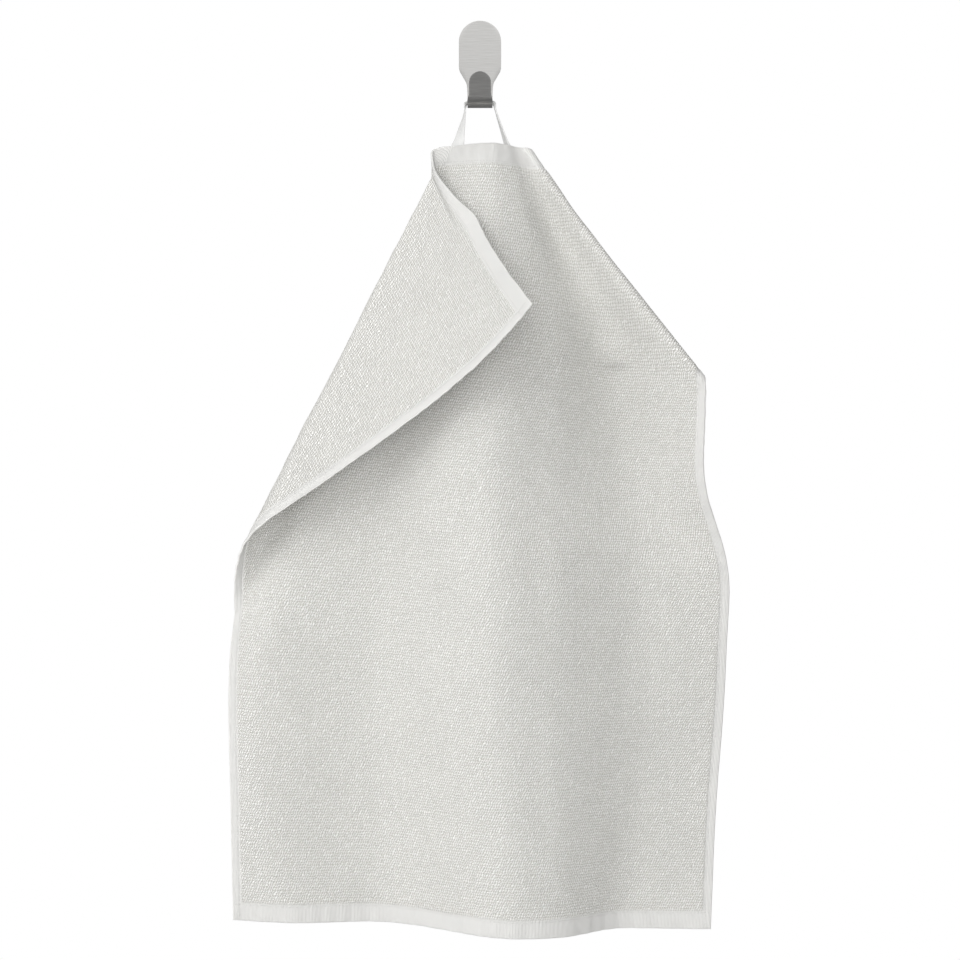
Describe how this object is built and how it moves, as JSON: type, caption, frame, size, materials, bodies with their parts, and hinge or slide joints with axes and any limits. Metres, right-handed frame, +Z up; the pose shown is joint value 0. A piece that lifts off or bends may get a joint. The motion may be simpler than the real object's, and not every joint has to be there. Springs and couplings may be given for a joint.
{
  "type": "hand towel and wall hook",
  "caption": "Terry hand towel hanging in folds by its tape loop from a small J-shaped steel wall hook.",
  "frame": {"origin": "centre of the hook plate's flat back face, in the wall plane", "axes": "+Z up, +Y into the wall, +X to the viewer's right; the towel hangs in front of the wall, towards -Y"},
  "size_m": [0.3804, 0.1216, 0.6979],
  "materials": {
    "terry_cloth": "off-white looped cotton terry with plain woven hems",
    "loop_tape": "white woven cotton tape",
    "hook_steel": "brushed stainless steel strip"
  },
  "bodies": {
    "root": {"towel": "terry_cloth", "hanging_loop": "loop_tape", "wall_hook": "hook_steel"}
  },
  "joints": []
}
